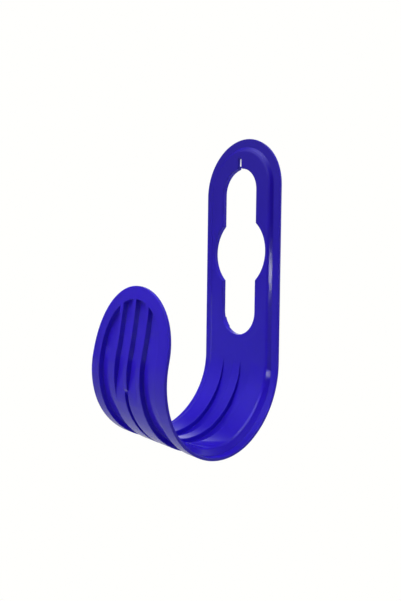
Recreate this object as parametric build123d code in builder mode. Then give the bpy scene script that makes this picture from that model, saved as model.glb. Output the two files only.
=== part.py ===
from build123d import *
from math import atan2, cos, degrees, radians, sin, tan
import os

# Garden hose hanger: one moulded strip, a flat wall plate that bends forward into a wide hook with a lip.
# Millimetres. The wall plane is y = 0, the hook opens to the front (-Y) and +Z is up.
# The origin is in the wall plane, at the middle of the round part of the tap slot.
# A level is a distance from the outside of the strip (the wall side, the underside, the front of the lip).

# Outline of the strip
plate_width = 82.0
lip_width = 91.0
plate_top = 89.9

# Side view of the strip's outside, from the plate round to the lip
bend_start = -84.5
heel_radius = 62.5
heel_turn = 58.5
belly_radius = 52.3
belly_turn = 104.5
lip_radius = 65.2
lip_turn = 28.7
flare_radius = 412.0
flare_turn = 6.85

# Section of the strip: a flat rim round a panel that is raised to the inside of the hook
sheet = 2.5
rim_thickness = 2.1
rim_on_plate = 6.5
rim_on_lip = 6.8
rim_at_tip = 5.3
plate_rise = 4.7
hook_rise = 6.2
pocket_wall = 3.9
panel_slope = 3.9
panel_soften = 0.9
rim_bevel = 0.3
edge_bevel = 0.3
bevel_angle = 45.0

# Ribs in the pocket behind the panel
rib_pitch = 15.7
rib_width = 4.2
rib_end_turn = 9.5
rib_foot_turn = 2.5

# Two channels round the bend, and how they fade out on the lip: an arc, then a straight run
channel_wall = 2.4
channel_start = 0.15
fade_radius = 26.0
fade_turn = 25.0
fade_length = 16.0

# Tap slot, the collar behind it and the nail notch above it
slot_round_radius = 28.9
slot_neck_width = 37.2
slot_top = 66.6
slot_bottom = -65.6
slot_corner_round = 1.0
collar_wall = 2.6
collar_gap = 0.8
notch_height = 8.6
notch_top_width = 2.8
notch_base_width = 4.2
notch_round = 1.2
notch_base_round = 1.0

# How far cutting shapes reach past what they cut
reach = 5.0
block_bottom = bend_start - heel_radius - belly_radius

# Middles of the bend's arcs, and the tip of the lip, in side view (y, z)
belly_end = heel_turn + belly_turn
lip_end = belly_end + lip_turn


def outward(heading):
    """Direction out of the strip where it has turned by this many degrees from straight down."""
    return Vector(cos(radians(heading)), -sin(radians(heading)))


heel_middle = Vector(-heel_radius, bend_start)
belly_middle = heel_middle + outward(heel_turn) * (heel_radius - belly_radius)
lip_middle = belly_middle + outward(belly_end) * (belly_radius - lip_radius)
flare_middle = lip_middle + outward(lip_end) * (lip_radius + flare_radius)
lip_tip = flare_middle - outward(lip_end - flare_turn) * flare_radius
lip_depth = -lip_tip.X
plate_round_middle = plate_top - plate_width / 2


def bend_line(plate_level, hook_level, top):
    """Side view of one face from the plate to the end of the belly. The heel takes up the change of level."""
    ease = (hook_level - plate_level) / (1 - 1 / cos(radians(heel_turn)))
    heel_top = bend_start - ease * tan(radians(heel_turn))
    plate = Line((-plate_level, top), (-plate_level, heel_top))
    heel = JernArc(plate @ 1, plate % 1, heel_radius - plate_level - ease, -heel_turn)
    belly = JernArc(heel @ 1, heel % 1, belly_radius - hook_level, -belly_turn)
    return plate @ 0, belly


def face_line(plate_level, hook_level):
    """Side view of one face of the strip, from above the plate's top to past the tip of the lip."""
    past_tip = flare_turn + degrees(reach / flare_radius)
    top, belly = bend_line(plate_level, hook_level, plate_top + reach)
    lip = JernArc(belly @ 1, belly % 1, lip_radius - hook_level, -lip_turn)
    flare = JernArc(lip @ 1, lip % 1, flare_radius + hook_level, past_tip)
    return top, flare @ 1


def band(outer, inner):
    """Wide J-shaped layer between two faces of the strip, each given by its levels on plate and hook."""
    with BuildPart() as layer:
        with BuildSketch(Plane.YZ):
            with BuildLine():
                outer_top, outer_tip = face_line(*outer)
                inner_top, inner_tip = face_line(*inner)
                Line(outer_top, inner_top)
                Line(outer_tip, inner_tip)
            make_face()
        extrude(amount=lip_width, both=True)
    return layer.part


def outline(plate_half, lip_half, tip_gap):
    """Block with the strip's front outline: round plate top, round lip top, sides that lean apart."""
    lip_round_middle = lip_tip.Y - tip_gap - lip_half
    lean = degrees(atan2(lip_half - plate_half, lip_depth))
    middle_depth = lip_depth / 2
    back_half = plate_half - reach * tan(radians(lean))
    middle_half = (plate_half + lip_half) / 2
    with BuildPart() as block:
        with BuildSketch(Plane.XZ.offset(-reach)):
            with Locations((0, plate_round_middle)):
                Circle(back_half)
                Rectangle(2 * back_half, plate_round_middle - block_bottom, align=(Align.CENTER, Align.MAX))
        extrude(amount=reach + middle_depth, taper=-lean)
        with BuildSketch(Plane.XZ.offset(middle_depth)):
            with Locations((0, lip_round_middle)):
                Circle(middle_half)
                Rectangle(2 * middle_half, lip_round_middle - block_bottom, align=(Align.CENTER, Align.MAX))
        extrude(amount=lip_depth, taper=-lean)
    return block.part


def channel_view(plate_level, hook_level):
    """Side view of all that lies in front of a channel's floor, which fades out on the lip."""
    top, belly = bend_line(plate_level, hook_level, bend_start + reach)
    fade = JernArc(belly @ 1, belly % 1, fade_radius - hook_level, -fade_turn)
    run_out = Line(fade @ 1, fade @ 1 + fade % 1 * fade_length)
    Polyline(run_out @ 1, belly_middle, top)


def level_of(edge):
    """How far the middle of an edge lies from the outside of the strip."""
    point = edge @ 0.5
    return outside.distance_to(Vertex(0, point.Y, point.Z))


with BuildLine(Plane.YZ) as outside_line:
    face_line(0, 0)
outside = outside_line.wire()

# Front view of the tap slot: a round middle with a narrow rounded neck above and below
with BuildSketch(Plane.XZ) as tap_slot:
    Circle(slot_round_radius)
    with Locations((0, (slot_top + slot_bottom) / 2)):
        SlotOverall(slot_top - slot_bottom, slot_neck_width, rotation=90)
    neck_corners = tap_slot.vertices().filter_by(lambda corner: abs(corner.Y) < slot_round_radius)
    fillet(neck_corners, slot_corner_round)

# Rim: the full outline, one sheet thick, with its edges bevelled
with BuildPart() as rim:
    add(band((0, 0), (rim_thickness, rim_thickness)))
    add(outline(plate_width / 2, lip_width / 2, 0), mode=Mode.INTERSECT)
    rim_walls = rim.faces().filter_by(lambda f: abs(f.normal_at().X) > 0.9)
    rim_walls += rim.faces().filter_by(GeomType.CONE)
    rim_corners = rim_walls.edges().filter_by(lambda edge: edge.length > 2 * rim_thickness)
    chamfer(rim_corners, rim_bevel)

# Panel: a solid step on the rim, with sloped sides and a softened crest where it meets the hose
slope_on_plate = plate_rise - rim_thickness
panel_on_plate = plate_width / 2 - rim_on_plate + panel_slope - slope_on_plate
panel_on_lip = lip_width / 2 - rim_on_lip
with BuildPart() as panel:
    add(band((0, 0), (plate_rise, hook_rise)))
    add(outline(panel_on_plate, panel_on_lip, rim_at_tip), mode=Mode.INTERSECT)
    for bevel in (panel_slope, panel_soften):
        crest = panel.edges().filter_by(Axis.X, reverse=True)
        crest = crest.filter_by(lambda edge: level_of(edge) > plate_rise - edge_bevel)
        chamfer(crest, bevel)

# Pocket core: the space behind the panel, less the channels' backs, the ribs and the slot's collar
plateau_inner = rib_width / 2
plateau_outer = rib_pitch + rib_width / 2
channel_inner = plateau_inner + channel_wall
channel_outer = plateau_outer - channel_wall
pocket_level = hook_rise - sheet
rib_top = slot_bottom + slot_neck_width / 2
hook_middle = -lip_depth / 2
with BuildPart() as core:
    add(band((-reach, -reach), (plate_rise - sheet, pocket_level)))
    add(
        outline(panel_on_plate - pocket_wall, panel_on_lip - pocket_wall, rim_at_tip + pocket_wall),
        mode=Mode.INTERSECT,
    )
    for side in (-1, 1):
        with BuildSketch(Plane.YZ.offset(side * plateau_inner)):
            with BuildLine():
                channel_view(plate_rise - sheet, 0)
            make_face()
        extrude(amount=side * (plateau_outer - plateau_inner), mode=Mode.SUBTRACT)
        with BuildSketch(Plane.YZ.offset(side * rib_pitch)):
            with Locations((hook_middle, rib_top)):
                Rectangle(2 * lip_depth, rib_top - block_bottom, align=(Align.MIN, Align.MAX))
            with Locations((hook_middle, plate_top)):
                Rectangle(2 * lip_depth, plate_top - block_bottom, align=(Align.MAX, Align.MAX))
        extrude(amount=rib_width / 2, both=True, mode=Mode.SUBTRACT)
    with BuildSketch(Plane.YZ):
        with BuildLine():
            rib_foot = lip_middle + outward(belly_end + rib_foot_turn) * (lip_radius - pocket_level)
            rib_start = lip_middle + outward(belly_end + rib_end_turn) * lip_radius
            run_out = (rib_start - rib_foot).normalized() * reach
            foot = rib_foot - run_out
            start = rib_start + run_out
            inside = (hook_middle, foot.Y)
            Polyline(start, foot, inside, (hook_middle, plate_top), (start.X, plate_top), close=True)
        make_face()
        with Locations((hook_middle, rib_top)):
            Rectangle(2 * lip_depth, rib_top - bend_start + rib_width, align=(Align.MIN, Align.MAX))
    extrude(amount=rib_width / 2, both=True, mode=Mode.SUBTRACT)
    with BuildSketch(Plane.XZ.offset(collar_gap)):
        add(tap_slot.sketch_local)
        offset(amount=collar_wall, kind=Kind.ARC)
    extrude(amount=plate_rise, mode=Mode.SUBTRACT)

# Hanger: rim and panel in one, hollowed behind, with the channels, the tap slot and the nail notch cut
with BuildPart() as hose_hanger:
    add(rim.part)
    add(panel.part)
    add(core.part, mode=Mode.SUBTRACT)
    rib_tops = hose_hanger.edges(Select.LAST).filter_by(Axis.X, reverse=True)
    rib_tops = rib_tops.filter_by(lambda edge: level_of(edge) < edge_bevel / 2)
    rib_tops = rib_tops.filter_by(lambda edge: abs(edge.center().X) < plateau_outer + edge_bevel)
    rib_tops = rib_tops.filter_by(GeomType.BSPLINE, reverse=True)
    chamfer(rib_tops.filter_by(lambda edge: abs(edge.center().X) > rib_pitch), edge_bevel)
    for side in (-1, 1):
        with BuildSketch(Plane.YZ.offset(side * channel_inner)):
            with BuildLine():
                channel_view(plate_rise + channel_start, sheet)
            make_face()
        extrude(amount=side * (channel_outer - channel_inner), mode=Mode.SUBTRACT)
        for wall, way in ((channel_inner, -side), (channel_outer, side)):
            with BuildSketch(Plane.YZ.offset(side * wall)):
                with BuildLine():
                    channel_view(hook_rise, hook_rise - edge_bevel)
                make_face()
            extrude(amount=way * edge_bevel, taper=bevel_angle, mode=Mode.SUBTRACT)
    with BuildSketch(Plane.XZ.offset(-reach)):
        add(tap_slot.sketch_local)
        with BuildLine():
            notch_top = slot_top + notch_height
            Polyline(
                (-notch_base_width / 2, slot_top - notch_base_width),
                (-notch_top_width / 2, notch_top),
                (notch_top_width / 2, notch_top),
                (notch_base_width / 2, slot_top - notch_base_width),
                close=True,
            )
        make_face()
        fillet(vertices().group_by(Axis.Y)[-1], notch_round)
        notch_base = vertices().filter_by(lambda corner: abs(corner.X) < notch_base_width / 2)
        fillet(notch_base.group_by(Axis.Y)[0], notch_base_round)
    extrude(amount=2 * reach + plate_rise, mode=Mode.SUBTRACT)
    slot_edges = hose_hanger.edges(Select.LAST)
    chamfer(slot_edges.filter_by(lambda edge: level_of(edge) > plate_rise - edge_bevel), edge_bevel)


os.makedirs("parts", exist_ok=True)
hose_hanger.part.label = "hose_hanger"
export_step(hose_hanger.part, "parts/hose_hanger.step")
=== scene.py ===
from math import cos, radians, sin

import bpy
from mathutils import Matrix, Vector

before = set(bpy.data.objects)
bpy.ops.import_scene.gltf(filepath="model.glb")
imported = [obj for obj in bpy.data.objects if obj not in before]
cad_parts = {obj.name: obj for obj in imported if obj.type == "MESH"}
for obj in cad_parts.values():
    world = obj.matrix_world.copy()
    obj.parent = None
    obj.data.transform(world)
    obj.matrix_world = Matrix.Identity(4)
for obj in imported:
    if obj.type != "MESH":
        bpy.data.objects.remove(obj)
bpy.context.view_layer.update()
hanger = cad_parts["hose_hanger"]

# Blue plastic: two near shades that drift over the moulding, its gloss and its moulded skin
BLUE_LIGHT = (0.034, 0.013, 0.62, 1)
BLUE_DEEP = (0.026, 0.010, 0.57, 1)
GLOSS = (0.09, 0.14)
REFRACTION = 1.49
SHADE_DRIFT = 14.0
SHADE_DETAIL = 3
GLOSS_DRIFT = 60.0
SKIN_GRAIN = 900.0
SKIN_DEPTH = 0.00002
EDGE_SOFTNESS = 0.0006
EDGE_SAMPLES = 6

# Studio: a pale floor, a dim room with soft bright regions, and softboxes; metres and watts
FLOOR_HEIGHT = -0.30
FLOOR_SIZE = 30.0
PALE = (0.5, 0.5, 0.495, 1)
WHITE = (1.0, 1.0, 0.985, 1)
FLOOR_GLOW = 0.03
FLOOR_ROUGHNESS = 0.9
ROOM_GLOW = 0.01
ROOM_SPREAD = 8.0
# Bright regions of the room: degrees from the front towards +X, degrees up, strength
ROOM_REGIONS = (
    (160, 5, 1.0),
    (-150, 10, 1.6),
    (-20, 40, 0.75),
    (-46, -5, 0.13),
    (0, 80, 1.1),
)
# Softboxes face the middle of the hook
LIT_POINT = Vector((0, -0.06, -0.07))
OPEN, GRIDDED = 180, 40
# Name, place, size, power, spread in degrees, and True where it lights only the gloss, False where only the colour
SOFTBOXES = (
    ("lip_softbox", (0.01, -0.23, -0.05), 0.06, 0.014, OPEN, False),
    ("trough_softbox", (0, -0.30, 0.22), 0.1, 0.031, GRIDDED, False),
    ("low_softbox", (0.03, -0.25, -0.25), 0.12, 0.07, OPEN, False),
    ("left_softbox", (-0.3, -0.35, -0.1), 0.12, 0.06, OPEN, False),
    ("top_softbox", (0, -0.16, 0.6), 0.12, 1.4, OPEN, False),
    ("right_back_softbox", (0.4, 0.1, 0.1), 0.12, 0.5, OPEN, False),
    ("left_back_softbox", (-0.4, 0.1, 0.1), 0.12, 1.2, OPEN, False),
    ("slope_softbox", (0.70, -0.606, 0.01), 0.06, 0.17, OPEN, True),
)

# Camera at the photograph's viewing angle
CAMERA_PLACE = (0.3107421, -0.3053623, -0.0269819)
CAMERA_TURN = (88.4367, -0.7451, 49.9032)
CAMERA_LENS = 32.220
CAMERA_SENSOR = 36.0


def add_node(tree, kind, place, **settings):
    """Shader node at a place in the tree, with its properties set by name."""
    node = tree.nodes.new(kind)
    node.location = place
    for name, value in settings.items():
        setattr(node, name, value)
    return node


def blue_plastic():
    """Glossy moulded polypropylene: deep violet blue, soft drift of shade and gloss, fine moulded skin."""
    material = bpy.data.materials.new("blue_plastic")
    material.use_nodes = True
    tree = material.node_tree
    link = tree.links.new
    shader = tree.nodes["Principled BSDF"]
    shader.inputs["IOR"].default_value = REFRACTION
    where = add_node(tree, "ShaderNodeTexCoord", (-1000, 0))

    drift = add_node(tree, "ShaderNodeTexNoise", (-800, 300))
    drift.inputs["Scale"].default_value = SHADE_DRIFT
    drift.inputs["Detail"].default_value = SHADE_DETAIL
    shade = add_node(tree, "ShaderNodeMix", (-400, 300), data_type="RGBA")
    for socket in shade.inputs:
        if socket.type == "RGBA":
            socket.default_value = BLUE_DEEP if socket.name == "A" else BLUE_LIGHT
    link(where.outputs["Object"], drift.inputs["Vector"])
    link(drift.outputs["Fac"], shade.inputs["Factor"])
    link(next(s for s in shade.outputs if s.type == "RGBA"), shader.inputs["Base Color"])

    sheen = add_node(tree, "ShaderNodeTexNoise", (-800, 0))
    sheen.inputs["Scale"].default_value = GLOSS_DRIFT
    gloss = add_node(tree, "ShaderNodeMapRange", (-400, 0))
    gloss.inputs["To Min"].default_value = GLOSS[0]
    gloss.inputs["To Max"].default_value = GLOSS[1]
    link(where.outputs["Object"], sheen.inputs["Vector"])
    link(sheen.outputs["Fac"], gloss.inputs["Value"])
    link(gloss.outputs["Result"], shader.inputs["Roughness"])

    grain = add_node(tree, "ShaderNodeTexNoise", (-800, -300))
    grain.inputs["Scale"].default_value = SKIN_GRAIN
    edge = add_node(tree, "ShaderNodeBevel", (-800, -600), samples=EDGE_SAMPLES)
    edge.inputs["Radius"].default_value = EDGE_SOFTNESS
    skin = add_node(tree, "ShaderNodeBump", (-400, -300))
    skin.inputs["Distance"].default_value = SKIN_DEPTH
    link(where.outputs["Object"], grain.inputs["Vector"])
    link(grain.outputs["Fac"], skin.inputs["Height"])
    link(edge.outputs["Normal"], skin.inputs["Normal"])
    link(skin.outputs["Normal"], shader.inputs["Normal"])
    return material


def pale_floor():
    """Wide plain floor, near white to the camera and dimmer as a light on the hanger."""
    material = bpy.data.materials.new("pale_floor")
    material.use_nodes = True
    tree = material.node_tree
    link = tree.links.new
    shader = tree.nodes["Principled BSDF"]
    shader.inputs["Base Color"].default_value = PALE
    shader.inputs["Roughness"].default_value = FLOOR_ROUGHNESS
    shader.inputs["Emission Color"].default_value = WHITE
    shader.inputs["Emission Strength"].default_value = FLOOR_GLOW
    lit = add_node(tree, "ShaderNodeEmission", (0, -300))
    lit.inputs["Color"].default_value = WHITE
    ray = add_node(tree, "ShaderNodeLightPath", (0, 300))
    mix = add_node(tree, "ShaderNodeMixShader", (300, 0))
    link(ray.outputs["Is Camera Ray"], mix.inputs["Fac"])
    link(shader.outputs["BSDF"], mix.inputs[1])
    link(lit.outputs["Emission"], mix.inputs[2])
    link(mix.outputs["Shader"], tree.nodes["Material Output"].inputs["Surface"])
    bpy.ops.object.select_all(action="DESELECT")
    bpy.ops.mesh.primitive_plane_add(size=FLOOR_SIZE, location=(0, 0, FLOOR_HEIGHT))
    floor = bpy.context.object
    floor.name = "floor"
    floor.data.materials.append(material)


def studio_room():
    """Room light: dim all round, with soft bright regions, and white as the plain background."""
    world = bpy.context.scene.world or bpy.data.worlds.new("studio")
    bpy.context.scene.world = world
    world.use_nodes = True
    tree = world.node_tree
    link = tree.links.new
    tree.nodes.clear()
    way = add_node(tree, "ShaderNodeTexCoord", (-1400, 0))
    room = add_node(tree, "ShaderNodeBackground", (-300, 0))
    glow = room.inputs["Strength"]
    for row, (turn, rise, strength) in enumerate(ROOM_REGIONS):
        turn, rise = radians(turn), radians(rise)
        along = add_node(tree, "ShaderNodeVectorMath", (-1200, -200 * row), operation="DOT_PRODUCT")
        along.inputs[1].default_value = (sin(turn) * cos(rise), -cos(turn) * cos(rise), sin(rise))
        facing = add_node(tree, "ShaderNodeMath", (-1000, -200 * row), operation="MAXIMUM")
        facing.inputs[1].default_value = 0
        soft = add_node(tree, "ShaderNodeMath", (-800, -200 * row), operation="POWER")
        soft.inputs[1].default_value = ROOM_SPREAD
        add = add_node(tree, "ShaderNodeMath", (-600, -200 * row), operation="MULTIPLY_ADD")
        add.inputs[1].default_value = strength
        add.inputs[2].default_value = ROOM_GLOW
        link(way.outputs["Generated"], along.inputs[0])
        link(along.outputs["Value"], facing.inputs[0])
        link(facing.outputs["Value"], soft.inputs[0])
        link(soft.outputs["Value"], add.inputs[0])
        link(add.outputs["Value"], glow)
        glow = add.inputs[2]
    room.inputs["Color"].default_value = (1, 1, 1, 1)
    backdrop = add_node(tree, "ShaderNodeBackground", (-300, -200))
    backdrop.inputs["Color"].default_value = WHITE
    ray = add_node(tree, "ShaderNodeLightPath", (-300, 300))
    mix = add_node(tree, "ShaderNodeMixShader", (0, 0))
    out = add_node(tree, "ShaderNodeOutputWorld", (200, 0))
    link(ray.outputs["Is Camera Ray"], mix.inputs["Fac"])
    link(room.outputs["Background"], mix.inputs[1])
    link(backdrop.outputs["Background"], mix.inputs[2])
    link(mix.outputs["Shader"], out.inputs["Surface"])


def softbox(name, place, size, power, spread, mirrored):
    """Square soft light, turned to the hanger."""
    light = bpy.data.lights.new(name, "AREA")
    light.shape = "SQUARE"
    light.size = size
    light.energy = power
    light.spread = radians(spread)
    lamp = bpy.data.objects.new(name, light)
    bpy.context.scene.collection.objects.link(lamp)
    lamp.location = place
    lamp.rotation_euler = (LIT_POINT - Vector(place)).to_track_quat("-Z", "Y").to_euler()
    lamp.visible_camera = False
    lamp.visible_glossy = mirrored
    lamp.visible_diffuse = not mirrored


def photo_camera():
    """Camera at the photograph's viewing angle, for an upright picture of 401 by 601."""
    lens = bpy.data.cameras.new("camera")
    lens.lens = CAMERA_LENS
    lens.sensor_width = CAMERA_SENSOR
    camera = bpy.data.objects.new("camera", lens)
    bpy.context.scene.collection.objects.link(camera)
    camera.location = CAMERA_PLACE
    camera.rotation_euler = [radians(turn) for turn in CAMERA_TURN]
    bpy.context.scene.camera = camera
    bpy.context.scene.view_settings.view_transform = "Standard"


hanger.data.materials.clear()
hanger.data.materials.append(blue_plastic())
pale_floor()
studio_room()
for box in SOFTBOXES:
    softbox(*box)
photo_camera()
